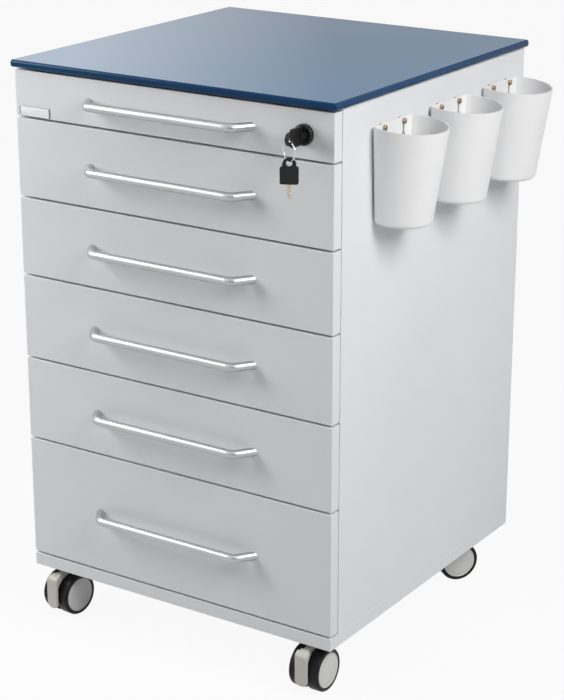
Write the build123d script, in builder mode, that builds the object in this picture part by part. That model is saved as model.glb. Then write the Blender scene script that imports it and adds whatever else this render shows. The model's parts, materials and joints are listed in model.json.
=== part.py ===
from build123d import *
import os
from math import asin, cos, degrees, radians, sin

# A mobile cabinet with six drawers, on four twin-wheel casters. It has a glass top, a central
# lock in the top drawer's front, and three cups hung on its right side.
#
# Millimetres. +Z is up, and the drawers open towards -Y. The origin is on the floor, under the
# middle of the overall box, so the carcass stands a little left of it: only the right side
# carries cups. Drawers and their fronts are numbered from the top.

os.makedirs("parts", exist_ok=True)

# ---------------------------------------------------------------- driving dimensions

# carcass, in coated board
width = 500.0
depth = 500.0                    # from the closed drawer fronts to the back
board = 18.0
back_board = 8.0
rebate = 9.0                     # bite of the back panel into each side panel
front_air = 1.5                  # between a closed front and the carcass
board_round = 0.8                # eased edges

# drawer fronts, from the top one down
front_heights = [62.0, 107.0, 107.0, 117.0, 117.0, 174.0]
front_gap = 3.0
top_gap = 2.0                    # above the top front

# glass top
glass = 10.0
glass_overhang = 5.0
glass_corner = 4.0
glass_edge = 3.5                 # polished round on the edges
pad_thickness = 1.0
pad_radius = 10.0
pad_inset = 60.0

# steel drawer boxes
sheet = 1.5
box_lift = 5.0                   # box bottom above its front's lower edge
box_drop = 26.0                  # how much lower a box is than its front
top_box_step = 29.3              # the top box is narrower on the lock's side

# telescopic runners
runner_space = 12.7              # between box and side panel
runner_height = 35.0
runner_air = 0.35                # running gap between nested members
runner_start = 36.0              # from the closed front's face
runner_grid = 50.0               # runners come in steps of this length
back_air = 6.0                   # behind the runners
runner_axis = 18.0               # runner centre above the box bottom

# bow handles
handle_bar = 12.0                # diameter
handle_reach = 23.0              # bar centre in front of the drawer front
handle_feet = 256.0              # between the two screws
handle_straight = 224.0          # between the two bends
handle_bend = 14.0
screw_shank = 2.0                # radius of an M4 screw
screw_depth = 6.0                # into the handle's foot
screw_head = 4.0                 # radius
screw_head_height = 2.5

# central lock
lock_inset = 43.0                # from the cabinet's right side to the lock's axis
rosette_radius = 13.5
rosette_height = 6.0
barrel_radius = 9.0
plug_radius = 6.5
plug_air = 0.05
tail_radius = 11.0
tail_thickness = 2.0
tail_throw = 8.0                 # eccentric pin, off the plug's axis
tail_pin = 2.0                   # radius
key_turn = 90.0
slot_air = 0.35
bar_thickness = 4.4
bar_depth = 12.0
bar_front = 22.0                 # from the closed front's face
bar_clear = 0.45                 # between the bar and the runners' middle members
bar_air = 0.6                    # between the bar and the floor of its groove
guide_wall = 1.7
guide_air = 0.3
guide_height = 16.0
bolt_radius = 2.0                # the bar's cross pins
bolt_inset = 2.0                 # from the bar's front edge to a pin's centre
bolt_lift = 3.0                  # top drawer's pin centre above the front's lower edge
bolt_rise = 4.5                  # other pins' centres above the runners
guide_rise = 34.5                # guides' middles above the runners
hook_thickness = 4.7
hook_air = 2.5                   # between the hooks and the bar

# key and its wire ring
key_head_width = 23.0
key_head_length = 22.0
key_thickness = 5.0
key_eye_radius = 8.5
key_eye_hole = 4.0
key_eye_offset = 26.0            # eye centre from the blade end of the head
key_lobe_offset = 24.5
key_blade_length = 22.4
key_blade_width = 6.4
key_blade_thickness = 2.2
key_standoff = 2.0
ring_radius = 12.0
ring_wire = 0.9                  # radius
ring_turn = -22.0                # degrees the ring's plane is turned from the fronts
ring_hang = 2.25                 # wire below the centre of the key's eye

# blank badge
badge_length = 51.0
badge_height = 13.0
badge_thickness = 1.5
badge_inset = 6.0
badge_lift = 1.5

# cups
cup_count = 3
cup_rim_radius = 52.0
cup_foot_radius = 42.0
cup_length = 126.0
cup_lean = 4.7                   # degrees
cup_wall = 2.2
cup_reach = 79.0                 # cup's front from the side panel
cup_top = 36.0                   # rim's centre below the side panel's top
cup_foot_round = 6.0
cup_first = 131.0                # first cup's middle, from the closed front's face
cup_pitch = 144.5
cup_air = 4.0                    # between cup and side panel
cup_screws = 48.0                # between a cup's two screws
cup_screw_drop = 39.0            # screws below the side panel's top
keyhole_drop = 18.0
keyhole_round = 4.3
cup_neck = 1.75                  # screw neck radius
cup_head = 3.8
cup_head_height = 3.2
cup_collar = 4.6
cup_shank_length = 15.0
neck_air = 0.3

# casters
wheel_radius = 30.0
turret_height = 6.6
wheel_width = 18.5
wheel_gap = 9.0                  # between the two wheels of a caster
wheel_clearance = 3.3            # between the treads and the turret
tyre_thickness = 5.5
tyre_round = 4.0
hub_dome = 1.0
caster_trail = 22.0              # axle behind the stem
caster_side = 40.5               # stems from the cabinet's sides
caster_end = 47.0                # stems from the closed fronts and from the back
caster_headings = {
    "front_left": -95.5,
    "front_right": -89.5,
    "rear_left": -60.0,
    "rear_right": -127.0,
}
braked_casters = ("front_left", "front_right")
plate_size = 42.0
plate_thickness = 2.5
plate_screw_pitch = 32.0
plate_screw_radius = 2.0
plate_screw_head = 3.8
plate_screw_length = 14.0
turret_radius = 14.0
turret_gap = 0.6                 # under the plate
kingpin_radius = 3.0
axle_radius = 4.0
running_air = 0.05               # radial, on every pin and axle
web_air = 0.3                    # between the web and each wheel
web_radius = 26.0                # of the web's disc between the wheels
web_nose = 4.0                   # radius of the web's end at the lever
lever_pin_place = (45.0, 60.0)   # along the trail, above the floor
lever_pin = 2.0                  # radius
lever_boss = 4.2
lever_cheek = 2.3                # thickness
lever_air = 0.15                 # between the cheeks and the web
lever_width = 19.0
lever_thickness = 3.5
lever_gap = 1.5                  # between the treads and the lever
lever_bottom = 15.0              # above the floor
lever_round = 8.0                # rounding of the pedal's lower corners

# joinery
dowel_radius = 4.0
dowel_short = 10.0               # bite in the side panels
dowel_long = 22.0                # bite in the boards' ends
dowel_air = 0.05
woodscrew_radius = 2.0

# ---------------------------------------------------------------- places that follow

drawer_count = len(front_heights)
fronts_total = sum(front_heights) + front_gap * drawer_count + top_gap
height = board + fronts_total    # underside of the bottom board to top of the side panels

mid_x = -(cup_reach - glass_overhang) / 2
left_x = mid_x - width / 2
right_x = mid_x + width / 2
inner_left = left_x + board
inner_right = right_x - board

key_reach = rosette_height + key_standoff + key_lobe_offset + key_eye_radius
front_y = -(depth + glass_overhang - key_reach) / 2
front_back_y = front_y + board
carcass_y = front_back_y + front_air
back_y = front_y + depth
back_panel_y = back_y - back_board

base_z = 2 * wheel_radius + wheel_clearance + turret_height + turret_gap + plate_thickness
floor_top = base_z + board
shell_top = base_z + height
ceiling_z = shell_top - board

runner_y = front_y + runner_start
runner_length = runner_grid * ((back_panel_y - back_air - runner_y) // runner_grid)
runner_end = runner_y + runner_length
box_left = inner_left + runner_space
box_right = inner_right - runner_space

lock_x = right_x - lock_inset
bar_near = inner_right - sheet - runner_air + bar_clear
bar_x = (bar_near, bar_near + bar_thickness)
bar_y = (front_y + bar_front, front_y + bar_front + bar_depth)
bar_travel = 2 * tail_throw * sin(radians(key_turn / 2))
bolt_y = bar_y[0] + bolt_inset
hook_x = (bar_x[0] - hook_air - hook_thickness, bar_x[0] - hook_air)


def front_bottom(number):
    """Height of a drawer front's lower edge."""
    below = front_heights[number:]
    return floor_top + front_gap + sum(below) + front_gap * len(below)


def front_middle(number):
    return front_bottom(number) + front_heights[number - 1] / 2


def box_bottom(number):
    return front_bottom(number) + box_lift


def runner_top(number):
    return box_bottom(number) + runner_axis + runner_height / 2


def bolt_z(number):
    """Centre of a drawer's pin on the lock bar, with the bar down."""
    return front_bottom(number) + bolt_lift if number == 1 else runner_top(number) + bolt_rise


def box_top(number):
    return box_bottom(number) + front_heights[number - 1] - box_drop


def box_sides(number):
    """Left and right outer faces of a drawer box."""
    return (box_left, box_right - top_box_step) if number == 1 else (box_left, box_right)


def handle_places(number):
    """The two handle screws of a drawer front."""
    return [(mid_x + side * handle_feet / 2, front_middle(number)) for side in (-1, 1)]


lock_z = front_middle(1)
drawers = range(1, drawer_count + 1)

# ---------------------------------------------------------------- helpers


def block(x, y, z, mode=Mode.ADD):
    """Block between two corners, given as low and high on each axis."""
    with Locations(((x[0] + x[1]) / 2, (y[0] + y[1]) / 2, (z[0] + z[1]) / 2)):
        Box(x[1] - x[0], y[1] - y[0], z[1] - z[0], mode=mode)


def rod_y(radius, y, x, z, mode=Mode.ADD):
    """Round rod or hole along Y."""
    with Locations(Location((x, (y[0] + y[1]) / 2, z), (90, 0, 0))):
        Cylinder(radius, y[1] - y[0], mode=mode)


def rod_x(radius, x, y, z, mode=Mode.ADD):
    """Round rod or hole along X."""
    with Locations(Location(((x[0] + x[1]) / 2, y, z), (0, 90, 0))):
        Cylinder(radius, x[1] - x[0], mode=mode)


def rod_z(radius, z, x, y, mode=Mode.ADD):
    """Round rod or hole along Z."""
    with Locations((x, y, (z[0] + z[1]) / 2)):
        Cylinder(radius, z[1] - z[0], mode=mode)


def save(name, *solids):
    """Write one node, which may hold several separate solids."""
    node = solids[0] if len(solids) == 1 else Compound(children=list(solids))
    node.label = name
    export_step(node, f"parts/{name}.step")


# ---------------------------------------------------------------- carcass

dowel_ys = [carcass_y + (back_panel_y - carcass_y) * share for share in (0.1, 0.5, 0.9)]
back_screw_zs = [floor_top + (shell_top - floor_top) * share for share in (0.08, 0.36, 0.64, 0.92)]
back_screw_length = 25.0
back_screw_head = 3.8


def side_dowels(inner, outward, air=0.0, mode=Mode.ADD):
    """Dowels of one side panel: upright ones below, level ones into the top board."""
    for y in dowel_ys:
        rod_z(
            dowel_radius + air,
            (floor_top - dowel_short, floor_top + dowel_long),
            inner + outward * board / 2,
            y,
            mode=mode,
        )
        ends = sorted((inner + outward * dowel_short, inner - outward * dowel_long))
        rod_x(dowel_radius + air, ends, y, ceiling_z + board / 2, mode=mode)


def back_screw_holes(inner, outward):
    for z in back_screw_zs:
        x = inner + outward * rebate / 2
        rod_y(woodscrew_radius + dowel_air, (back_y - back_screw_length, back_y), x, z, mode=Mode.SUBTRACT)


def cup_middle(index):
    return front_y + cup_first + index * cup_pitch


def cup_screw_places():
    """(y, z) of every cup screw on the right side panel."""
    z = shell_top - cup_screw_drop
    return [(cup_middle(i) + side * cup_screws / 2, z) for i in range(cup_count) for side in (-1, 1)]


def side_panel(name, inner, outward):
    """One side panel, with its rebate for the back panel and its drillings."""
    outer = inner + outward * board
    with BuildPart() as panel:
        block(sorted((inner, outer)), (carcass_y, back_y), (floor_top, shell_top))
        fillet(panel.edges(), board_round)
        bite = sorted((inner - outward, inner + outward * rebate))
        block(bite, (back_panel_y, back_y + 1), (floor_top - 1, shell_top + 1), mode=Mode.SUBTRACT)
        side_dowels(inner, outward, air=dowel_air, mode=Mode.SUBTRACT)
        back_screw_holes(inner, outward)
        if outward > 0:
            groove_y = (bar_y[0] - guide_air, bar_y[1] + guide_air)
            groove_z = (floor_top - 1, ceiling_z)
            block((inner - 1, bar_x[1] + bar_air), groove_y, groove_z, mode=Mode.SUBTRACT)
            for y, z in cup_screw_places():
                rod_x(cup_neck + dowel_air, (outer - cup_shank_length, outer + 1), y, z, mode=Mode.SUBTRACT)
    save(name, panel.part)


side_panel("left_side_panel", inner_left, -1)
side_panel("right_side_panel", inner_right, 1)

stem_places = {
    "front_left": (left_x + caster_side, front_y + caster_end),
    "front_right": (right_x - caster_side, front_y + caster_end),
    "rear_left": (left_x + caster_side, back_y - caster_end),
    "rear_right": (right_x - caster_side, back_y - caster_end),
}


def plate_screw_places(stem):
    half = plate_screw_pitch / 2
    return [(stem[0] + dx, stem[1] + dy) for dx in (-half, half) for dy in (-half, half)]


with BuildPart() as bottom_board:
    block((left_x, right_x), (front_y, back_y), (base_z, floor_top))
    fillet(bottom_board.edges(), board_round)
    for inner, outward in ((inner_left, -1), (inner_right, 1)):
        side_dowels(inner, outward, air=dowel_air, mode=Mode.SUBTRACT)
    for stem in stem_places.values():
        for x, y in plate_screw_places(stem):
            hole = plate_screw_radius + dowel_air
            rod_z(hole, (base_z - 1, base_z + plate_screw_length), x, y, mode=Mode.SUBTRACT)
save("bottom_board", bottom_board.part)

with BuildPart() as top_board:
    block((inner_left, inner_right), (carcass_y, back_panel_y), (ceiling_z, shell_top))
    for inner, outward in ((inner_left, -1), (inner_right, 1)):
        side_dowels(inner, outward, air=dowel_air, mode=Mode.SUBTRACT)

# the batten under the top board carries the top drawer's right runner, clear of the lock
batten_front = 4.0
with BuildPart() as batten:
    block(
        (box_right - top_box_step + runner_space, inner_right),
        (runner_y + batten_front, runner_end),
        (box_bottom(1), ceiling_z),
    )
save("top_board", top_board.part, batten.part)

with BuildPart() as back_panel:
    block((inner_left - rebate, inner_right + rebate), (back_panel_y, back_y), (floor_top, shell_top))
    for inner, outward in ((inner_left, -1), (inner_right, 1)):
        back_screw_holes(inner, outward)
        for z in back_screw_zs:
            x = inner + outward * rebate / 2
            sink = (back_y - screw_head_height, back_y + 1)
            rod_y(back_screw_head + dowel_air, sink, x, z, mode=Mode.SUBTRACT)
save("back_panel", back_panel.part)


def carcass_fasteners():
    """Wooden dowels of the boards, and the back panel's screws."""
    with BuildPart() as dowels:
        for inner, outward in ((inner_left, -1), (inner_right, 1)):
            side_dowels(inner, outward)
    with BuildPart() as screws:
        for inner, outward in ((inner_left, -1), (inner_right, 1)):
            for z in back_screw_zs:
                x = inner + outward * rebate / 2
                rod_y(woodscrew_radius, (back_y - back_screw_length, back_y - 0.2), x, z)
                rod_y(back_screw_head, (back_y - screw_head_height, back_y - 0.2), x, z)
    save("carcass_fasteners", dowels.part, screws.part)


carcass_fasteners()

# ---------------------------------------------------------------- glass top

glass_z = shell_top + pad_thickness
glass_mid_y = (front_y + back_y) / 2

with BuildPart() as glass_top:
    with BuildSketch(Plane.XY.offset(glass_z)):
        with Locations((mid_x, glass_mid_y)):
            RectangleRounded(width + 2 * glass_overhang, depth + 2 * glass_overhang, glass_corner)
    extrude(amount=glass)
    fillet(glass_top.edges().group_by(Axis.Z)[0] + glass_top.edges().group_by(Axis.Z)[-1], glass_edge)
save("glass_top", glass_top.part)

with BuildPart() as glass_pads:
    spread = (width - 2 * pad_inset, depth - 2 * pad_inset)
    with Locations((mid_x, glass_mid_y, shell_top + pad_thickness / 2)):
        with GridLocations(*spread, 2, 2):
            Cylinder(pad_radius, pad_thickness)
        Cylinder(pad_radius, pad_thickness)
save("glass_pads", glass_pads.part)

# ---------------------------------------------------------------- drawers


def runner_member(web, inward, z_mid, half, lip, y):
    """One C-shaped member, its back on the plane x = web and its lips pointing inward."""
    depth_x = sorted((web, web + inward * lip))
    hollow = sorted((web + inward * sheet, web + inward * (lip + 1)))
    with BuildPart() as member:
        block(depth_x, y, (z_mid - half, z_mid + half))
        block(hollow, (y[0] - 1, y[1] + 1), (z_mid - half + sheet, z_mid + half - sheet), mode=Mode.SUBTRACT)
    return member.part


def runner(number, side):
    """The outer, middle and inner members on one side of a drawer."""
    left, right = box_sides(number)
    inward = -side
    wall = left if side < 0 else right
    web = wall + side * runner_space
    z_mid = box_bottom(number) + runner_axis
    span = (runner_y, runner_end)
    half = runner_height / 2
    outer = runner_member(web, inward, z_mid, half, runner_space - sheet - 1.2, span)
    half -= sheet + runner_air
    middle_web = web + inward * (sheet + runner_air)
    middle_lip = runner_space - 2 * (sheet + runner_air)
    middle = runner_member(middle_web, inward, z_mid, half, middle_lip, span)
    half -= sheet + runner_air
    inner_lip = runner_space - 2 * (sheet + runner_air)
    inner = runner_member(wall, side, z_mid, half, inner_lip, span)
    return outer, middle, inner


def drawer_tray(number):
    """Steel base and four steel walls, open above."""
    left, right = box_sides(number)
    inner_z = (box_bottom(number) + sheet, box_top(number))
    inner_x = (left + sheet, right - sheet)
    whole_y = (front_back_y, runner_end)
    with BuildPart() as base:
        block((left, right), whole_y, (box_bottom(number), inner_z[0]))
    with BuildPart() as left_wall:
        block((left, inner_x[0]), whole_y, inner_z)
    with BuildPart() as right_wall:
        block((inner_x[1], right), whole_y, inner_z)
    with BuildPart() as rear_wall:
        block(inner_x, (runner_end - sheet, runner_end), inner_z)
    with BuildPart() as front_wall:
        block(inner_x, (front_back_y, front_back_y + sheet), inner_z)
        for x, z in handle_places(number):
            hole = screw_shank + 0.2
            rod_y(hole, (front_back_y - 1, front_back_y + sheet + 1), x, z, mode=Mode.SUBTRACT)
    return [base.part, left_wall.part, right_wall.part, rear_wall.part, front_wall.part]


def lock_hook(number):
    """Hook behind a front, which the lock bar's pin closes off."""
    pin_z = bolt_z(number)
    clear = pin_z + bolt_radius + 1.2
    top = pin_z + bar_travel + bolt_radius + 1.2
    with BuildPart() as strap:
        block(hook_x, (front_back_y, bar_y[1] - 2), (top, top + 2.5))
    with BuildPart() as catch:
        block(hook_x, (bolt_y + bolt_radius + 0.6, bar_y[1] - 2), (clear, top))
    return [strap.part, catch.part]


def drawer_front(number):
    """Coated front board with its drillings."""
    bottom = front_bottom(number)
    top = bottom + front_heights[number - 1]
    with BuildPart() as front:
        block((left_x, right_x), (front_y, front_back_y), (bottom, top))
        fillet(front.edges(), board_round)
        for x, z in handle_places(number):
            rod_y(screw_shank + 0.2, (front_y - 1, front_back_y + 1), x, z, mode=Mode.SUBTRACT)
        if number == 1:
            hole = barrel_radius + 0.1
            rod_y(hole, (front_y - 1, front_back_y + 1), lock_x, lock_z, mode=Mode.SUBTRACT)
    save(f"drawer_{number}_front", front.part)


def drawer_handle(number):
    """Bow handle with flared legs, and its two screws."""
    middle = front_middle(number)
    bar_line = front_y - handle_reach
    flare = (handle_feet - handle_straight) / 2 / handle_reach
    sink = handle_bar / 2                                       # legs run on, to be cut flush
    foot = handle_feet / 2 + flare * sink
    with BuildPart() as bow:
        with BuildLine(Plane.XY.offset(middle)) as path:
            FilletPolyline(
                (mid_x - foot, front_y + sink),
                (mid_x - handle_straight / 2, bar_line),
                (mid_x + handle_straight / 2, bar_line),
                (mid_x + foot, front_y + sink),
                radius=handle_bend,
            )
        with BuildSketch(Plane(path.line @ 0, z_dir=path.line % 0)):
            Circle(handle_bar / 2)
        sweep()
        block(
            (left_x, right_x),
            (front_y, front_y + 3 * sink),
            (middle - handle_bar, middle + handle_bar),
            mode=Mode.SUBTRACT,
        )
        for x, z in handle_places(number):
            thread = (front_y - screw_depth, front_y + 1)
            rod_y(screw_shank, thread, x, z, mode=Mode.SUBTRACT)
    with BuildPart() as screws:
        seat = front_back_y + sheet
        for x, z in handle_places(number):
            rod_y(screw_shank - running_air, (front_y - screw_depth + 0.5, seat + 1), x, z)
            rod_y(screw_head, (seat, seat + screw_head_height), x, z)
    save(f"drawer_{number}_handle", bow.part, screws.part)


cabinet_runners = []
for number in drawers:
    outer_left, middle_left, inner_left_member = runner(number, -1)
    outer_right, middle_right, inner_right_member = runner(number, 1)
    cabinet_runners += [outer_left, outer_right]
    drawer_front(number)
    drawer_handle(number)
    fittings = [inner_left_member, inner_right_member, *lock_hook(number)]
    save(f"drawer_{number}_box", *drawer_tray(number), *fittings)
    save(f"drawer_{number}_middle_runners", middle_left, middle_right)
save("cabinet_runners", *cabinet_runners)

# ---------------------------------------------------------------- lock

barrel_end = front_back_y + 2.0
tail_y = (barrel_end + 0.3, barrel_end + 0.3 + tail_thickness)
tail_pin_end = tail_y[1] + 5.0
rosette_y = front_y - rosette_height


def tail_pin_place(turn):
    """(x, z) of the eccentric pin after the key has turned this far."""
    angle = radians(turn - key_turn / 2)
    return lock_x + tail_throw * cos(angle), lock_z + tail_throw * sin(angle)


with BuildPart() as lock_case:
    rod_y(rosette_radius, (rosette_y, front_y), lock_x, lock_z)
    fillet(lock_case.faces().sort_by(Axis.Y)[0].edges(), 1.5)
    rod_y(barrel_radius, (front_y, barrel_end), lock_x, lock_z)
    rod_y(plug_radius + plug_air, (rosette_y - 1, barrel_end + 1), lock_x, lock_z, mode=Mode.SUBTRACT)
with BuildPart() as lock_nut:
    rod_y(barrel_radius + 4, (front_back_y, front_back_y + 1.8), lock_x, lock_z)
    rod_y(barrel_radius + running_air, (front_back_y - 1, barrel_end + 1), lock_x, lock_z, mode=Mode.SUBTRACT)
save("lock_case", lock_case.part, lock_nut.part)

key_slot_air = 0.1
with BuildPart() as lock_plug:
    rod_y(plug_radius, (rosette_y, tail_y[0]), lock_x, lock_z)
    rod_y(tail_radius, tail_y, lock_x, lock_z)
    pin_x, pin_z = tail_pin_place(0)
    rod_y(tail_pin, (tail_y[1], tail_pin_end), pin_x, pin_z)
    block(
        (lock_x - key_blade_thickness / 2 - key_slot_air, lock_x + key_blade_thickness / 2 + key_slot_air),
        (rosette_y - 1, rosette_y + key_blade_length),
        (lock_z - key_blade_width / 2 - key_slot_air, lock_z + key_blade_width / 2 + key_slot_air),
        mode=Mode.SUBTRACT,
    )
save("lock_plug", lock_plug.part)


def make_key(name, frame):
    """Key on a frame at the joint of head and blade, with y towards the eye."""
    with BuildPart() as head:
        with BuildSketch(frame):
            with Locations((0, key_head_length / 2)):
                RectangleRounded(key_head_width, key_head_length, 2.5)
            with Locations((0, key_lobe_offset)):
                Circle(key_eye_radius)
            with Locations((0, key_eye_offset)):
                Circle(key_eye_hole, mode=Mode.SUBTRACT)
        extrude(amount=key_thickness / 2, both=True)
        fillet(head.faces().filter_by(frame).edges(), 0.8)
    with BuildPart() as blade:
        with BuildSketch(frame):
            with Locations((0, -key_blade_length / 2)):
                Rectangle(key_blade_width, key_blade_length)
            for share, bite in ((0.25, 1.0), (0.45, 1.6), (0.65, 0.8), (0.85, 1.4)):
                with Locations((key_blade_width / 2, -key_blade_length * share)):
                    Rectangle(2 * bite, key_blade_length * 0.1, mode=Mode.SUBTRACT)
        extrude(amount=key_blade_thickness / 2, both=True)
    save(name, head.part, blade.part)


key_origin = (lock_x, rosette_y - key_standoff, lock_z)
make_key("lock_key", Plane(origin=key_origin, x_dir=(0, 0, 1), z_dir=(1, 0, 0)))

eye_y = rosette_y - key_standoff - key_eye_offset
ring_z = lock_z - ring_hang - ring_radius
ring_along = (cos(radians(ring_turn)), sin(radians(ring_turn)), 0)
ring_axis = (ring_along[1], -ring_along[0], 0)
with BuildPart() as key_ring:
    with BuildSketch(Plane(origin=(lock_x, eye_y, ring_z + ring_radius), x_dir=(0, 0, 1), z_dir=ring_along)):
        Circle(ring_wire)
    revolve(axis=Axis((lock_x, eye_y, ring_z), ring_axis))
save("key_ring", key_ring.part)

# the lock bar stands in front of the runners; its arm reaches to the plug's eccentric pin
bar_bottom = floor_top + 2.5
arm_half = tail_pin + slot_air + 2.1
arm_z = tail_pin_place(0)[1]
bar_top = arm_z + arm_half + 2
arm_y = (tail_y[1] + 0.7, tail_y[1] + 3.7)
slot_from = tail_pin_place(0)[0]
slot_to = lock_x + tail_throw
with BuildPart() as lock_bar:
    block(bar_x, bar_y, (bar_bottom, bar_top))
    fillet(lock_bar.edges().filter_by(Axis.Z), 1.0)
with BuildPart() as lock_arm:
    block((slot_from - arm_half, bar_x[0]), arm_y, (arm_z - arm_half, arm_z + arm_half))
    with Locations(Location(((slot_from + slot_to) / 2, (arm_y[0] + arm_y[1]) / 2, arm_z), (90, 0, 0))):
        Box(slot_to - slot_from, 2 * (tail_pin + slot_air), 2 * (arm_y[1] - arm_y[0]), mode=Mode.SUBTRACT)
    for end in (slot_from, slot_to):
        rod_y(tail_pin + slot_air, (arm_y[0] - 1, arm_y[1] + 1), end, arm_z, mode=Mode.SUBTRACT)
lock_pins = []
for number in drawers:
    with BuildPart() as lock_pin:
        rod_x(bolt_radius, (hook_x[0] + 0.4, bar_x[0]), bolt_y, bolt_z(number))
    lock_pins.append(lock_pin.part)
save("lock_bar", lock_bar.part, lock_arm.part, *lock_pins)

guides = []
for number in (2, 4, 6):
    middle = runner_top(number) + guide_rise
    z = (middle - guide_height / 2, middle + guide_height / 2)
    lip_x = (bar_x[0] - guide_air - guide_wall, bar_x[0] - guide_air)
    for edge, outward in ((bar_y[0], -1), (bar_y[1], 1)):
        near = edge + outward * guide_air
        with BuildPart() as bracket:
            block((lip_x[0], inner_right), sorted((near, near + outward * guide_wall)), z)
            block(lip_x, sorted((near - outward * 2.5, near + outward * guide_wall)), z)
        guides.append(bracket.part)
save("lock_bar_guides", *guides)

with BuildPart() as name_plate:
    low = (left_x + badge_inset, front_bottom(1) + badge_lift)
    block(
        (low[0], low[0] + badge_length),
        (front_y - badge_thickness, front_y),
        (low[1], low[1] + badge_height),
    )
    fillet(name_plate.edges().filter_by(Axis.Y), 1.0)
    fillet(name_plate.faces().sort_by(Axis.Y)[0].edges(), 0.5)
save("name_plate", name_plate.part)

# ---------------------------------------------------------------- cups and their screws

cup_back = right_x + cup_air
lean = radians(cup_lean)
rim_x = right_x + cup_reach - cup_rim_radius * cos(lean)
rim_z = shell_top - cup_top
foot_x = rim_x - cup_length * sin(lean)
foot_z = rim_z - cup_length * cos(lean)


def cup(index):
    """Tapered cup, leaning a little, with a flat back that hangs on two screws."""
    middle = cup_middle(index)
    axis_frame = Plane(
        origin=((rim_x + foot_x) / 2, middle, (rim_z + foot_z) / 2),
        x_dir=(cos(lean), 0, -sin(lean)),
        z_dir=(sin(lean), 0, cos(lean)),
    )
    with BuildPart(axis_frame) as body:
        Cone(cup_foot_radius, cup_rim_radius, cup_length)
        split(bisect_by=Plane(origin=(cup_back, 0, 0), z_dir=(1, 0, 0)), keep=Keep.TOP)
        lowest = body.faces().filter_by(axis_frame).sort_by(Axis.Z)[0]
        fillet(lowest.edges(), cup_foot_round)
        rim = body.faces().filter_by(axis_frame).sort_by(Axis.Z)[-1]
        offset(amount=-cup_wall, openings=rim)
    with BuildPart() as hung:
        add(body.part)
        hang_z = shell_top - cup_screw_drop
        through = (cup_back - 1, cup_back + cup_wall + 1)
        for side in (-1, 1):
            y = middle + side * cup_screws / 2
            rod_x(cup_neck + neck_air, through, y, hang_z, mode=Mode.SUBTRACT)
            rod_x(keyhole_round, through, y, hang_z - keyhole_drop, mode=Mode.SUBTRACT)
            slot = (y - cup_neck - neck_air, y + cup_neck + neck_air)
            block(through, slot, (hang_z - keyhole_drop, hang_z), mode=Mode.SUBTRACT)
        for side in (-1, 1):
            y = middle + side * 16
            rib = (y - 1.5, y + 1.5)
            block((right_x + neck_air, cup_back + cup_wall / 2), rib, (foot_z + 12, foot_z + 40))
    save(f"cup_{index + 1}", hung.part)


for index in range(cup_count):
    cup(index)


def hanging_screws():
    """Pan-head screws with a collar that keeps each cup off the side panel."""
    with BuildPart() as screws:
        collar = (right_x, cup_back - neck_air)
        head = (cup_back + cup_wall + neck_air, cup_back + cup_wall + neck_air + cup_head_height)
        for y, z in cup_screw_places():
            rod_x(cup_neck, (right_x - cup_shank_length + 0.5, head[0] + 1), y, z)
            rod_x(cup_collar, collar, y, z)
            rod_x(cup_head, head, y, z)
        outer = screws.faces().filter_by(Plane.YZ).group_by(Axis.X)[-1]
        fillet(outer.edges(), cup_head_height * 0.45)
    save("cup_screws", screws.part)


hanging_screws()

# ---------------------------------------------------------------- casters

wheel_z = wheel_radius
plate_under = base_z - plate_thickness
turret_top = plate_under - turret_gap
turret_bottom = 2 * wheel_radius + wheel_clearance
kingpin_bottom = turret_bottom - 14.0
web_half = wheel_gap / 2 - web_air
lever_half = lever_width / 2


def caster_frame(stem, heading):
    """Upright frame on the floor under a stem, with x along the trail."""
    along = (cos(radians(heading)), sin(radians(heading)), 0)
    return Plane(origin=(stem[0], stem[1], 0), x_dir=along, z_dir=(0, 0, 1))


def side_view(frame):
    """Plane through the stem for profiles: x along the trail, y up."""
    return Plane(origin=frame.origin, x_dir=frame.x_dir, z_dir=-frame.y_dir)


def cross_rod(profile, place, radius, half, mode=Mode.ADD):
    """Round rod or hole across the trail."""
    with BuildSketch(profile) as section:
        with Locations(place):
            Circle(radius)
    extrude(section.sketch, amount=half, both=True, mode=mode)


def caster_housing(corner, frame):
    """Web between the wheels and its turret, with the axle and the lever's pin."""
    profile = side_view(frame)
    braked = corner in braked_casters
    nose = lever_pin_place if braked else (caster_trail + 13, wheel_z + 24)
    axle_place = (caster_trail, wheel_z)
    with BuildPart() as housing:
        with BuildSketch(profile):
            with BuildLine() as outline:
                CenterArc(axle_place, web_radius, 0, 360)
                CenterArc(nose, web_nose, 0, 360)
                stem_half = turret_radius - 4
                Line((-stem_half, kingpin_bottom), (-stem_half, turret_bottom + 1))
                Line((-stem_half, turret_bottom + 1), (turret_radius, turret_bottom + 1))
            make_hull(outline.edges())
        extrude(amount=web_half, both=True)
        with Locations(frame.offset((turret_bottom + turret_top) / 2).location):
            Cylinder(turret_radius, turret_top - turret_bottom)
        fillet(housing.faces().sort_by(Axis.Z)[-1].edges(), 1.0)
        with Locations(frame.offset((kingpin_bottom + turret_top) / 2).location):
            bore = turret_top - kingpin_bottom + 2
            Cylinder(kingpin_radius + running_air, bore, mode=Mode.SUBTRACT)
        cross_rod(profile, axle_place, axle_radius + 0.02, wheel_width, mode=Mode.SUBTRACT)
        if braked:
            cross_rod(profile, lever_pin_place, lever_pin + 0.02, wheel_width, mode=Mode.SUBTRACT)
    with BuildPart() as axle:
        cross_rod(profile, axle_place, axle_radius, wheel_gap / 2 + wheel_width - 4)
    solids = [housing.part, axle.part]
    if braked:
        with BuildPart() as pin:
            cross_rod(profile, lever_pin_place, lever_pin, wheel_gap / 2 + lever_cheek)
        solids.append(pin.part)
    save(f"caster_{corner}_housing", *solids)


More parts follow.
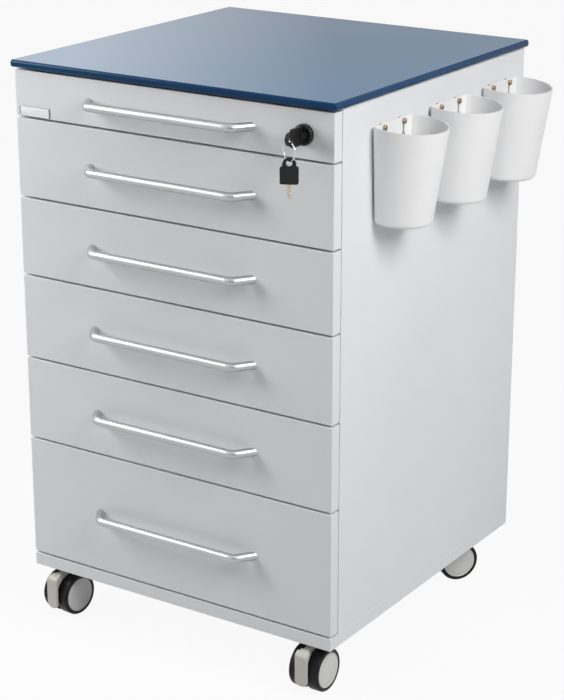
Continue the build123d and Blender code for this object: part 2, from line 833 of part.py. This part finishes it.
def caster_wheel(corner, frame, side, name):
    """One wheel: a tyre on a closed, slightly domed hub that turns on the axle."""
    out = frame.y_dir * side
    inner = frame.from_local_coords(Vector(caster_trail, side * wheel_gap / 2, wheel_z))
    section = Plane(origin=inner, x_dir=(0, 0, 1), z_dir=Vector(0, 0, 1).cross(out))
    wheel_axis = Axis(inner, out)
    hub_radius = wheel_radius - tyre_thickness
    seat = hub_radius - 0.02
    shoulder = wheel_width - 1.2
    bore = axle_radius + running_air
    bore_end = wheel_width - 3.5
    cap_edge = seat - 4
    cap_radius = (cap_edge**2 + hub_dome**2) / (2 * hub_dome)
    cap_spread = degrees(asin(cap_edge / cap_radius))
    with BuildPart() as tyre:
        with BuildSketch(section):
            with Locations(((hub_radius + wheel_radius) / 2, wheel_width / 2)):
                Rectangle(tyre_thickness, wheel_width)
        revolve(axis=wheel_axis)
        treads = tyre.edges().filter_by(GeomType.CIRCLE).group_by(lambda edge: edge.radius)[-1]
        fillet(treads, tyre_round)
    with BuildPart() as hub:
        with BuildSketch(section):
            with BuildLine():
                Line((bore, 0.4), (seat, 0.4))
                Line((seat, 0.4), (seat, shoulder - 0.8))
                Line((seat, shoulder - 0.8), (seat - 0.8, shoulder))
                Line((seat - 0.8, shoulder), (cap_edge, shoulder))
                CenterArc((0, shoulder + hub_dome - cap_radius), cap_radius, 90 - cap_spread, cap_spread)
                Line((0, shoulder + hub_dome), (0, bore_end))
                Line((0, bore_end), (bore, bore_end))
                Line((bore, bore_end), (bore, 0.4))
            make_face()
        revolve(axis=wheel_axis)
    save(f"caster_{corner}_wheel_{name}", tyre.part, hub.part)


def brake_lever(corner, frame):
    """Pedal in front of the treads, hung by two cheeks on the web's nose."""
    profile = side_view(frame)
    face = caster_trail + wheel_radius + lever_gap
    pin_x, pin_z = lever_pin_place
    shoulder_z = pin_z - 4
    with BuildPart() as pedal:
        with BuildSketch(profile):
            with BuildLine():
                Line((face, lever_bottom), (face + lever_thickness, lever_bottom))
                Line((face + lever_thickness, lever_bottom), (face + lever_thickness, shoulder_z))
                TangentArc(
                    (face + lever_thickness, shoulder_z),
                    (face - 4.5, pin_z + lever_boss),
                    tangent=(0, 1),
                )
                Line((face - 4.5, pin_z + lever_boss), (face - 4.5, pin_z + lever_boss - lever_thickness))
                TangentArc(
                    (face - 4.5, pin_z + lever_boss - lever_thickness),
                    (face, shoulder_z),
                    tangent=(1, 0),
                )
                Line((face, shoulder_z), (face, lever_bottom))
            make_face()
        extrude(amount=lever_half, both=True)
        along = Axis((0, 0, 0), frame.x_dir)
        fillet(pedal.edges().filter_by(along).group_by(Axis.Z)[0], lever_round)
        fillet(pedal.faces().sort_by(along)[-1].edges().sort_by(Axis.Z)[:-1], 1.2)
        with BuildSketch(profile):
            with BuildLine() as cheek:
                CenterArc(lever_pin_place, lever_boss, 0, 360)
                Line((face + 1, shoulder_z - 14), (face + 1, pin_z))
            make_hull(cheek.edges())
        extrude(amount=wheel_gap / 2 + lever_cheek, both=True)
        with BuildSketch(profile):
            with Locations(lever_pin_place):
                Circle(web_nose + 1.5)
            with Locations((face - 15, (lever_bottom + pin_z) / 2)):
                Rectangle(30, pin_z - lever_bottom)
        extrude(amount=wheel_gap / 2 - lever_air, both=True, mode=Mode.SUBTRACT)
        cross_rod(profile, lever_pin_place, lever_pin + running_air, lever_width, mode=Mode.SUBTRACT)
    save(f"caster_{corner}_brake_lever", pedal.part)


with BuildPart() as caster_plates:
    for stem in stem_places.values():
        with Locations((*stem, base_z - plate_thickness / 2)):
            Box(plate_size, plate_size, plate_thickness)
    for stem in stem_places.values():
        for x, y in plate_screw_places(stem):
            hole = plate_screw_radius + dowel_air
            rod_z(hole, (plate_under - 1, base_z + 1), x, y, mode=Mode.SUBTRACT)
kingpins = []
for stem in stem_places.values():
    with BuildPart() as kingpin:
        rod_z(kingpin_radius, (kingpin_bottom, plate_under), *stem)
    kingpins.append(kingpin.part)
with BuildPart() as plate_screws:
    for stem in stem_places.values():
        for x, y in plate_screw_places(stem):
            rod_z(plate_screw_radius, (plate_under, base_z + plate_screw_length - 0.5), x, y)
            rod_z(plate_screw_head, (plate_under - 1.6, plate_under), x, y)
save("caster_plates", caster_plates.part, plate_screws.part, *kingpins)

for corner, stem in stem_places.items():
    frame = caster_frame(stem, caster_headings[corner])
    caster_housing(corner, frame)
    caster_wheel(corner, frame, -1, "a")
    caster_wheel(corner, frame, 1, "b")
    if corner in braked_casters:
        brake_lever(corner, frame)
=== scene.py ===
import math

import bmesh
import bpy
from mathutils import Matrix, Vector
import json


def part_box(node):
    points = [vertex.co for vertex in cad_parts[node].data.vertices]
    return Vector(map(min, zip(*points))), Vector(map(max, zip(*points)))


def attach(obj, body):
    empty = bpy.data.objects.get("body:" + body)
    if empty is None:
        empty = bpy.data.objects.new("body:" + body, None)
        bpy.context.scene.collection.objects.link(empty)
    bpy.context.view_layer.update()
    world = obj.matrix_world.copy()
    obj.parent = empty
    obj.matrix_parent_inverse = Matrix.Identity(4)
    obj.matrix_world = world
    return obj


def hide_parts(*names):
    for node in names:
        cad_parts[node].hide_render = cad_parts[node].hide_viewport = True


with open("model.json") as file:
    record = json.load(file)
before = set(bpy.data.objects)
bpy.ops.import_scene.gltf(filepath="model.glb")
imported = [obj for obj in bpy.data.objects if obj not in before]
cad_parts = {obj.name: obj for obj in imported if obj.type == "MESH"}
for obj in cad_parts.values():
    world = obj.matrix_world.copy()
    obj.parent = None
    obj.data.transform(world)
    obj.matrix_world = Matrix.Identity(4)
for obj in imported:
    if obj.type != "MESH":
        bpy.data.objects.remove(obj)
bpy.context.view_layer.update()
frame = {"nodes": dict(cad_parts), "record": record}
nodes = frame["nodes"]

DRAWERS = range(1, 7)
CORNERS = ("front_left", "front_right", "rear_left", "rear_right")
MM = 0.001


# ---------------------------------------------------------------- camera


CAMERA_PLACE = (1.46339, -2.24819, 1.31180)
CAMERA_LENS = 103.546


def make_camera():
    """The photograph's viewpoint, with its picture plane's axes."""
    right = Vector((0.83549, 0.54950, -0.00008))
    up = Vector((-0.17922, 0.27262, 0.94528))
    back = Vector((0.51946, -0.78976, 0.32626))
    data = bpy.data.cameras.new("camera")
    data.sensor_width = 36.0
    data.lens = CAMERA_LENS
    data.clip_start, data.clip_end = 0.1, 60.0
    camera = bpy.data.objects.new("camera", data)
    bpy.context.scene.collection.objects.link(camera)
    turn = Matrix((right, up, back)).transposed().to_4x4()
    camera.matrix_world = Matrix.Translation(CAMERA_PLACE) @ turn
    bpy.context.scene.camera = camera


# ---------------------------------------------------------------- materials


class Shader:
    """A node material whose nodes are made and joined by short calls."""

    def __init__(self, name):
        self.material = bpy.data.materials.new(name)
        self.material.use_nodes = True
        self.tree = self.material.node_tree
        self.surface = self.tree.nodes["Principled BSDF"]

    def node(self, kind, **values):
        made = self.tree.nodes.new(kind)
        for key, value in values.items():
            setattr(made, key, value)
        return made

    def join(self, source, target):
        self.tree.links.new(source, target)

    def set(self, **values):
        """Constants on the shader's own sockets."""
        for key, value in values.items():
            self.surface.inputs[key.replace("_", " ")].default_value = value
        return self

    def place(self, scale=(1, 1, 1)):
        """Object coordinates, stretched."""
        coordinates = self.node("ShaderNodeTexCoord")
        mapping = self.node("ShaderNodeMapping")
        mapping.inputs["Scale"].default_value = scale
        self.join(coordinates.outputs["Object"], mapping.inputs["Vector"])
        return mapping.outputs["Vector"]

    def noise(self, scale, detail=3.0, roughness=0.5, stretch=(1, 1, 1)):
        texture = self.node("ShaderNodeTexNoise")
        texture.inputs["Scale"].default_value = scale
        texture.inputs["Detail"].default_value = detail
        texture.inputs["Roughness"].default_value = roughness
        self.join(self.place(stretch), texture.inputs["Vector"])
        return texture.outputs["Fac"]

    def spread(self, value, low, high, start=0.35, end=0.65):
        """Maps a 0 to 1 value onto a range."""
        made = self.node("ShaderNodeMapRange")
        made.inputs["From Min"].default_value = start
        made.inputs["From Max"].default_value = end
        made.inputs["To Min"].default_value = low
        made.inputs["To Max"].default_value = high
        self.join(value, made.inputs["Value"])
        return made.outputs["Result"]

    def blend(self, factor, a, b):
        made = self.node("ShaderNodeMix", data_type="RGBA")
        self.join(factor, made.inputs["Factor"])
        for socket, value in (("A", a), ("B", b)):
            target = [s for s in made.inputs if s.name == socket and s.type == "RGBA"][0]
            if isinstance(value, tuple):
                target.default_value = (*value, 1.0)
            else:
                self.join(value, target)
        return [s for s in made.outputs if s.type == "RGBA"][0]

    def colour(self, source):
        self.join(source, self.surface.inputs["Base Color"])

    def rough(self, source):
        self.join(source, self.surface.inputs["Roughness"])

    def bump(self, height, strength, distance=0.0002):
        made = self.node("ShaderNodeBump")
        made.inputs["Strength"].default_value = strength
        made.inputs["Distance"].default_value = distance
        self.join(height, made.inputs["Height"])
        self.join(made.outputs["Normal"], self.surface.inputs["Normal"])


def moulded(name, colour, shade, roughness, grain=700.0, strength=0.12, specular=0.5):
    """Moulded plastic or paint: faint mottling, uneven gloss and a fine grain."""
    m = Shader(name).set(Specular_IOR_Level=specular)
    m.colour(m.blend(m.spread(m.noise(14.0), 0.0, 1.0), colour, shade))
    m.rough(m.spread(m.noise(60.0), roughness - 0.05, roughness + 0.07))
    m.bump(m.noise(grain, 2.0), strength)
    return m.material


def metal(name, colour, roughness, brush=(1, 1, 1), grain=900.0, strength=0.1):
    """Bare metal with fine marks along one direction."""
    m = Shader(name).set(Metallic=1.0)
    darker = tuple(c * 0.86 for c in colour)
    marks = m.noise(grain, 4.0, 0.6, brush)
    m.colour(m.blend(m.spread(marks, 0.0, 1.0), darker, colour))
    m.rough(m.spread(m.noise(grain / 6, 3.0, 0.5, brush), roughness - 0.05, roughness + 0.08))
    m.bump(marks, strength, 0.00005)
    return m.material


def laminate(name, colour, shade):
    """White coated board, satin, with a very fine pearl of the press plate."""
    m = Shader(name).set(Specular_IOR_Level=0.5)
    m.colour(m.blend(m.spread(m.noise(3.0, 4.0), 0.0, 1.0), colour, shade))
    m.rough(m.spread(m.noise(25.0, 3.0), 0.30, 0.38))
    m.bump(m.noise(1500.0, 1.0), 0.06, 0.00008)
    return m.material


def blue_glass(name, deep, clear, roughness, **constants):
    """Polished glass, coloured through: faint clouding and a few fine rub marks."""
    m = Shader(name).set(**constants)
    m.colour(m.blend(m.spread(m.noise(2.5, 2.0), 0.0, 1.0), deep, clear))
    rubs = m.noise(260.0, 5.0, 0.7, (1, 0.04, 1))
    m.rough(m.spread(rubs, roughness, roughness + 0.05, 0.55, 0.75))
    m.bump(m.noise(400.0, 2.0), 0.012, 0.00005)
    return m.material


def dress(obj, material):
    """One material for the whole object."""
    obj.data.materials.clear()
    obj.data.materials.append(material)


def dress_faces(obj, other, chosen):
    """Another material on the faces whose middle passes a test."""
    obj.data.materials.append(other)
    for face in obj.data.polygons:
        if chosen(face.center):
            face.material_index = len(obj.data.materials) - 1


# ---------------------------------------------------------------- studio


WORLD_LIGHT = 0.18  # the surroundings' own light on the object
FLOOR_GLOW = 0.93  # share of the floor that shows as plain white
FLOOR_REACH = 12.0


def seen_rays(tree):
    """1 for camera rays, reflections and what shows through glass, else 0."""
    path = tree.nodes.new("ShaderNodeLightPath")
    seen = path.outputs["Is Camera Ray"]
    for kind in ("Is Glossy Ray", "Is Transmission Ray"):
        either = tree.nodes.new("ShaderNodeMath")
        either.operation = "MAXIMUM"
        tree.links.new(seen, either.inputs[0])
        tree.links.new(path.outputs[kind], either.inputs[1])
        seen = either.outputs[0]
    return seen


def make_world():
    """White surroundings that light the object only a little."""
    world = bpy.data.worlds.new("studio")
    bpy.context.scene.world = world
    world.use_nodes = True
    tree = world.node_tree
    background = tree.nodes["Background"]
    strength = tree.nodes.new("ShaderNodeMapRange")
    strength.inputs["To Min"].default_value = WORLD_LIGHT
    strength.inputs["To Max"].default_value = 1.0
    tree.links.new(seen_rays(tree), strength.inputs["Value"])
    background.inputs["Color"].default_value = (1.0, 1.0, 1.0, 1.0)
    tree.links.new(strength.outputs["Result"], background.inputs["Strength"])


def make_floor():
    """Pale floor that keeps the object's shadow."""
    mesh = bpy.data.meshes.new("floor")
    reach = FLOOR_REACH
    corners = [(-reach, -reach, 0), (reach, -reach, 0), (reach, reach, 0), (-reach, reach, 0)]
    mesh.from_pydata(corners, [], [(0, 1, 2, 3)])
    floor = bpy.data.objects.new("floor", mesh)
    bpy.context.scene.collection.objects.link(floor)
    m = Shader("floor_pale")
    m.set(Base_Color=(0.6, 0.6, 0.6, 1.0), Roughness=0.9, Specular_IOR_Level=0.1)
    glow = m.node("ShaderNodeEmission")
    share = m.node("ShaderNodeMath", operation="MULTIPLY")
    share.inputs[1].default_value = FLOOR_GLOW
    m.join(seen_rays(m.tree), share.inputs[0])
    mixed = m.node("ShaderNodeMixShader")
    m.join(share.outputs[0], mixed.inputs["Fac"])
    m.join(m.surface.outputs[0], mixed.inputs[1])
    m.join(glow.outputs[0], mixed.inputs[2])
    m.join(mixed.outputs[0], m.tree.nodes["Material Output"].inputs["Surface"])
    dress(floor, m.material)


def lamp(name, place, aim, size, power, colour=(1.0, 1.0, 1.0)):
    """A rectangular soft lamp."""
    data = bpy.data.lights.new(name, "AREA")
    data.shape = "RECTANGLE"
    data.size, data.size_y = size
    data.energy = power
    data.color = colour
    lamp_object = bpy.data.objects.new(name, data)
    bpy.context.scene.collection.objects.link(lamp_object)
    lamp_object.location = place
    direction = Vector(aim) - Vector(place)
    lamp_object.rotation_mode = "QUATERNION"
    lamp_object.rotation_quaternion = direction.to_track_quat("-Z", "Y")
    lamp_object.visible_camera = False


def glow_card(name, corners, dark, bright, start, end):
    """A glowing board beside the set, not a lamp, seen only in reflections as a painted reflection; its glow
    is brighter along -X.
    """
    mesh = bpy.data.meshes.new(name)
    mesh.from_pydata(corners, [], [(0, 1, 2, 3)])
    board = bpy.data.objects.new(name, mesh)
    bpy.context.scene.collection.objects.link(board)
    m = Shader(name)
    coordinates = m.node("ShaderNodeTexCoord")
    axes = m.node("ShaderNodeSeparateXYZ")
    m.join(coordinates.outputs["Object"], axes.inputs["Vector"])
    glow = m.node("ShaderNodeEmission")
    m.join(m.spread(axes.outputs["X"], dark, bright, start, end), glow.inputs["Strength"])
    m.join(glow.outputs[0], m.tree.nodes["Material Output"].inputs["Surface"])
    dress(board, m.material)
    board.visible_camera = False
    board.visible_diffuse = False
    board.visible_shadow = False


make_camera()
make_world()
make_floor()
lamp("key", (1.75, -0.5, 1.85), (0.2, -0.1, 0.6), (1.1, 1.1), 36.0)
lamp("left_front", (-1.3, -1.0, 1.3), (-0.1, -0.23, 0.5), (0.7, 0.9), 19.0)
lamp("rear_glow", (-3.6, 4.2, 1.9), (0.0, 0.0, 0.8), (3.4, 2.6), 7.0)
behind_top = ((0.8, 3.4, 0.0), (-4.6, 3.4, 0.0), (-4.6, 3.4, 2.8), (0.8, 3.4, 2.8))
behind_camera = ((1.1, -3.7, 0.5), (3.1, -2.5, 0.5), (3.1, -2.5, 2.3), (1.1, -3.7, 2.3))
# glowing boards seen only in reflections: a pale one with a glow gradient for the glass top, a nearly black
# one behind the camera
glow_card("grey_card", behind_top, 0.50, 1.05, -2.05, -3.15)
glow_card("dark_card", behind_camera, 0.04, 0.05, 3.0, 1.0)

# ---------------------------------------------------------------- finishes

board_white = laminate("board_white", (0.80, 0.81, 0.83), (0.77, 0.78, 0.80))
front_white = laminate("front_white", (0.79, 0.80, 0.82), (0.76, 0.77, 0.79))
tray_paint = moulded("tray_paint", (0.70, 0.71, 0.72), (0.66, 0.67, 0.68), 0.42, 500.0, 0.2)
zinc = metal("zinc", (0.62, 0.63, 0.64), 0.34, (1, 0.15, 1))
satin_aluminium = metal("satin_aluminium", (0.50, 0.505, 0.51), 0.34, (0.06, 1, 1), 1400.0, 0.08)
polished_wire = metal("polished_wire", (0.72, 0.72, 0.72), 0.18)
brass_screw = metal("brass_screw", (0.40, 0.30, 0.19), 0.28)
plated_plug = metal("plated_plug", (0.20, 0.19, 0.17), 0.3)
lock_black = moulded("lock_black", (0.006, 0.006, 0.006), (0.010, 0.010, 0.010), 0.30, specular=0.35)
key_black = moulded("key_black", (0.005, 0.005, 0.005), (0.009, 0.009, 0.009), 0.36, specular=0.3)
blade_metal = metal("blade_metal", (0.62, 0.53, 0.40), 0.28)
tyre_black = moulded("tyre_black", (0.005, 0.005, 0.005), (0.010, 0.010, 0.010), 0.45, 900.0, 0.25, 0.2)
caster_grey = moulded("caster_grey", (0.60, 0.59, 0.54), (0.55, 0.54, 0.49), 0.38)
hub_grey = moulded("hub_grey", (0.70, 0.70, 0.69), (0.65, 0.65, 0.64), 0.36, 1100.0, 0.1)
cup_white = moulded("cup_white", (0.90, 0.90, 0.905), (0.87, 0.87, 0.875), 0.34, 900.0, 0.05)
clear_rubber = moulded("clear_rubber", (0.5, 0.53, 0.56), (0.45, 0.48, 0.5), 0.3)
beech = moulded("beech", (0.55, 0.40, 0.25), (0.45, 0.31, 0.18), 0.6)
badge_metal = metal("badge_metal", (0.78, 0.79, 0.80), 0.28, (0.05, 1, 1))
# painted shade: dark grey metal on the name plate's side and recess walls stands in for the shade in its
# recess and along its thickness
badge_shaded_walls = metal("badge_shaded_walls", (0.30, 0.30, 0.31), 0.32, (0.05, 1, 1))
glass_blue = blue_glass(
    "glass_blue", (0.0, 0.15, 0.34), (0.003, 0.16, 0.36), 0.10,
    IOR=1.62, Coat_Weight=0.25, Coat_Roughness=0.03,
)
# painted shade: a darker copy of the blue glass for the slab's edges and underside, standing in for the shade
# they show
glass_edge_painted_shade = blue_glass(
    "glass_edge_painted_shade", (0.0, 0.032, 0.105), (0.0, 0.045, 0.13), 0.12,
    IOR=1.5, Specular_IOR_Level=0.15,
)

whole_nodes = {
    "glass_top": glass_blue,
    "glass_pads": clear_rubber,
    "top_board": board_white,
    "left_side_panel": board_white,
    "right_side_panel": board_white,
    "back_panel": board_white,
    "bottom_board": board_white,
    "cabinet_runners": zinc,
    "carcass_fasteners": beech,
    "caster_plates": zinc,
    "cup_screws": brass_screw,
    "lock_bar_guides": zinc,
    "lock_bar": zinc,
    "lock_case": lock_black,
    "lock_plug": plated_plug,
    "lock_key": key_black,
    "key_ring": polished_wire,
    "name_plate": badge_metal,
}
for number in DRAWERS:
    whole_nodes[f"drawer_{number}_front"] = front_white
    whole_nodes[f"drawer_{number}_handle"] = satin_aluminium
    whole_nodes[f"drawer_{number}_box"] = tray_paint
    whole_nodes[f"drawer_{number}_middle_runners"] = zinc
for name in nodes:
    if name.startswith("cup_") and name != "cup_screws":
        whole_nodes[name] = cup_white
    if name.startswith("caster_") and name != "caster_plates":
        whole_nodes[name] = tyre_black if "wheel" in name else caster_grey
for name, material in whole_nodes.items():
    dress(nodes[name], material)

glass_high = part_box("glass_top")[1].z
front_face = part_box("drawer_1_front")[0].y
KEY_STANDOFF = 2.0
key_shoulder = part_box("lock_case")[0].y - KEY_STANDOFF * MM
SLIVER = 0.1 * MM
# painted shade on every face below the top surface: the edges and underside
dress_faces(nodes["glass_top"], glass_edge_painted_shade, lambda place: place.z < glass_high - SLIVER)
dress_faces(nodes["lock_key"], blade_metal, lambda place: place.y > key_shoulder + SLIVER)
for number in DRAWERS:
    dress_faces(nodes[f"drawer_{number}_handle"], zinc, lambda place: place.y > front_face + SLIVER)

# ---------------------------------------------------------------- pieces


def add_piece(name, form, material, body, replaced=(), smooth=35.0):
    """A finished mesh that rides on a body and may stand for CAD nodes."""
    bmesh.ops.recalc_face_normals(form, faces=form.faces)
    mesh = bpy.data.meshes.new(name)
    form.to_mesh(mesh)
    form.free()
    mesh.shade_smooth()
    mesh.set_sharp_from_angle(angle=math.radians(smooth))
    made = bpy.data.objects.new(name, mesh)
    bpy.context.scene.collection.objects.link(made)
    dress(made, material)
    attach(made, body)
    if replaced:
        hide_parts(*replaced)
    return made


def arc(middle, radius, start, end, steps=6):
    """Points along an arc, in degrees."""
    turns = [math.radians(start + (end - start) * i / steps) for i in range(steps + 1)]
    return [(middle[0] + radius * math.cos(t), middle[1] + radius * math.sin(t)) for t in turns]


def lathe(profile, anchor, axis, steps=96):
    """A closed profile of (radius, along) points in mm, spun about an axis."""
    axis = Vector(axis).normalized()
    form = bmesh.new()
    up = Vector((0, 0, 1))
    points = [form.verts.new(Vector(anchor) + up * r * MM + axis * a * MM) for r, a in profile]
    edges = [form.edges.new((points[i - 1], points[i])) for i in range(len(points))]
    turn = 2 * math.pi
    bmesh.ops.spin(
        form, geom=points + edges, cent=anchor, axis=axis, angle=turn, steps=steps, use_merge=True
    )
    bmesh.ops.remove_doubles(form, verts=form.verts, dist=1e-7)
    bmesh.ops.dissolve_degenerate(form, edges=form.edges, dist=1e-8)
    return form


def slab(outline, holes, thick, frame_axes, origin):
    """A flat outline in mm with round holes, given a thickness about its middle."""
    along, across, normal = (Vector(v) for v in frame_axes)
    form = bmesh.new()
    base = Vector(origin) - normal * thick * MM / 2
    rings = []
    for loop in [outline, *holes]:
        points = [form.verts.new(base + along * u * MM + across * v * MM) for u, v in loop]
        rings += [form.edges.new((points[i - 1], points[i])) for i in range(len(points))]
    bmesh.ops.triangle_fill(form, edges=rings, use_beauty=True)
    grown = bmesh.ops.extrude_face_region(form, geom=form.faces[:])
    moved = [item for item in grown["geom"] if isinstance(item, bmesh.types.BMVert)]
    bmesh.ops.translate(form, verts=moved, vec=normal * thick * MM)
    return form


def soften(made, width, segments=2):
    """Rounds a piece's sharp edges, width in mm."""
    bevel = made.modifiers.new("edges", "BEVEL")
    bevel.width = width * MM
    bevel.segments = segments
    bevel.limit_method = "ANGLE"
    bevel.angle_limit = math.radians(50)


# casters' wheels: a rounded black tyre on a pale hub with a shallow rim and cap
INNER, OUTER = 4.5, 23.0  # the wheel's faces, from the caster's middle
TREAD, RIM, BORE = 30.0, 24.5, 4.2  # radii
BACK_ROUND, SHOULDER = 1.6, 3.4
TYRE_PROFILE = (
    [(RIM, INNER + 0.5)]
    + arc((TREAD - BACK_ROUND, INNER + BACK_ROUND), BACK_ROUND, 270, 360)
    + [(TREAD, OUTER - 3.6)]
    + arc((TREAD - SHOULDER, OUTER - SHOULDER), SHOULDER, 0, 75)
    + [(25.2, OUTER - 0.35), (RIM, OUTER - 0.9)]
)
HUB_PROFILE = (
    [(BORE, INNER + 0.9), (6.5, INNER + 0.5), (23.0, INNER + 0.5), (24.45, INNER + 0.9), (24.45, OUTER - 1.0)]
    + arc((23.9, OUTER - 1.0), 0.5, 0, 90, 3)
    + [(23.1, OUTER - 0.5), (22.7, OUTER - 0.9), (21.9, OUTER - 0.9), (21.5, OUTER - 0.6)]
    + [(17.0, OUTER - 0.35), (11.0, OUTER - 0.15), (5.0, OUTER - 0.05), (0.0, OUTER)]
    + [(0.0, OUTER - 3.5), (BORE, OUTER - 3.5)]
)
joints = {joint["name"]: joint for joint in frame["record"]["behaviour"]["joints"]}
for corner in CORNERS:
    for side, which in ((-1, "a"), (1, "b")):
        body = f"caster_{corner}_wheel_{which}"
        joint = joints[f"{body}_roll"]
        outward = Vector(joint["axis"]) * side
        tyre = lathe(TYRE_PROFILE, joint["pos_m"], outward)
        hub = lathe(HUB_PROFILE, joint["pos_m"], outward)
        add_piece(f"{body}_tyre", tyre, tyre_black, body, (body,))
        add_piece(f"{body}_hub", hub, hub_grey, body, (body,))

# spare key on the ring
KEY_TURN = math.radians(28.0)
EYE, EYE_HOLE, LOBE = 26.0, 4.0, 24.5  # eye's middle, its radius and the lobe's middle
HEAD_THICK, BLADE_THICK = 5.0, 2.0
RING_WIRE = 0.9  # radius of the ring's wire
EYE_SAG = 2.75  # the eye's middle below the wire
lock_low, lock_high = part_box("lock_case")
lock_x = (lock_low.x + lock_high.x) / 2
ring_low, ring_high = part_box("key_ring")
key_y = (ring_low.y + ring_high.y) / 2
key_origin = (lock_x, key_y, ring_low.z + (RING_WIRE - EYE_SAG - EYE) * MM)
key_axes = (
    (math.cos(KEY_TURN), math.sin(KEY_TURN), 0),
    (0, 0, 1),
    (math.sin(KEY_TURN), -math.cos(KEY_TURN), 0),
)
HEAD_WIDTH, HEAD_LENGTH, HEAD_ROUND, LOBE_ROUND = 23.0, 22.0, 2.5, 8.5
side_middle = HEAD_WIDTH / 2 - HEAD_ROUND
end_middle = HEAD_LENGTH - HEAD_ROUND
head_outline = (
    arc((-side_middle, HEAD_ROUND), HEAD_ROUND, 180, 270)
    + arc((side_middle, HEAD_ROUND), HEAD_ROUND, 270, 360)
    + arc((side_middle, end_middle), HEAD_ROUND, 0, 90)
    + arc((0.0, LOBE), LOBE_ROUND, -17.0, 197.0, 28)
    + arc((-side_middle, end_middle), HEAD_ROUND, 90, 180)
)
eye_hole = arc((0.0, EYE), EYE_HOLE, 360, 15, 23)
head_form = slab(head_outline, [eye_hole], HEAD_THICK, key_axes, key_origin)
head = add_piece("spare_key_head", head_form, key_black, "key_ring", smooth=30)
soften(head, 0.8)
blade_outline = [
    (-2.6, 0.6), (-2.6, -15.5), (-0.4, -18.0), (0.6, -18.0), (1.6, -16.6), (1.6, -15.2), (2.6, -14.2),
    (2.6, -12.8), (1.2, -11.6), (1.2, -10.4), (2.6, -9.2), (2.6, -8.0), (1.8, -7.2), (1.8, -6.0),
    (2.6, -5.0), (2.6, 0.6),
]
blade_form = slab(blade_outline, [], BLADE_THICK, key_axes, key_origin)
blade = add_piece("spare_key_blade", blade_form, blade_metal, "key_ring", smooth=30)
soften(blade, 0.25, 1)


def framed_plate(low, high, loops, steps=5):
    """A plate on the XZ plane from rounded loops of (inset, depth), in mm from its front."""
    form = bmesh.new()
    rings = []
    for inset, depth in loops:
        left, right = low.x + inset * MM, high.x - inset * MM
        bottom, top = low.z + inset * MM, high.z - inset * MM
        turn = max(1.2 - inset * 0.6, 0.3) * MM
        ring = []
        far_x, near_x = right - turn, left + turn
        high_z, low_z = top - turn, bottom + turn
        turns = ((far_x, high_z, 0), (near_x, high_z, 90), (near_x, low_z, 180), (far_x, low_z, 270))
        for x, z, start in turns:
            ring += arc((x, z), turn, start, start + 90, steps)
        rings.append([form.verts.new((x, low.y + depth * MM, z)) for x, z in ring])
    for near, far in zip(rings, rings[1:]):
        for i in range(len(near)):
            form.faces.new((near[i - 1], near[i], far[i], far[i - 1]))
    form.faces.new(rings[0])
    form.faces.new(rings[-1])
    return form


plate_low, plate_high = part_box("name_plate")
plate_loops = [(0.0, 1.5), (0.0, 0.3), (0.3, 0.0), (1.0, 0.0)]
plate_loops += [(1.25, 0.25), (1.35, 0.8), (1.7, 0.8), (2.2, 0.7)]
plate_form = framed_plate(plate_low, plate_high, plate_loops)
plate = add_piece(
    "name_plate_framed", plate_form, badge_shaded_walls, "drawer_1", ("name_plate",), 30
)
middle_inset = 1.5 * MM
middle_depth = 0.81 * MM
# the rim's front face and the sunk middle panel get the bright metal; the walls keep the painted shade
dress_faces(
    plate,
    badge_metal,
    lambda place: place.y < plate_low.y + middle_depth
    and plate_low.x + middle_inset < place.x < plate_high.x - middle_inset
    and plate_low.z + middle_inset < place.z < plate_high.z - middle_inset
    or place.y < plate_low.y + SLIVER,
)

# runner members and lock hooks on the drawer boxes are zinc plated
INNER_MEMBER = 9.0
TOP_BOX_STEP = 29.3
box_low, box_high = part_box("drawer_2_box")
for number in DRAWERS:
    tray = nodes[f"drawer_{number}_box"]
    wall_left = box_low.x + INNER_MEMBER * MM
    wall_right = box_high.x - INNER_MEMBER * MM - (TOP_BOX_STEP * MM if number == 1 else 0)
    dress_faces(tray, zinc, lambda place: not wall_left - SLIVER < place.x < wall_right + SLIVER)

# ---------------------------------------------------------------- end

bpy.context.scene.view_settings.view_transform = "Standard"
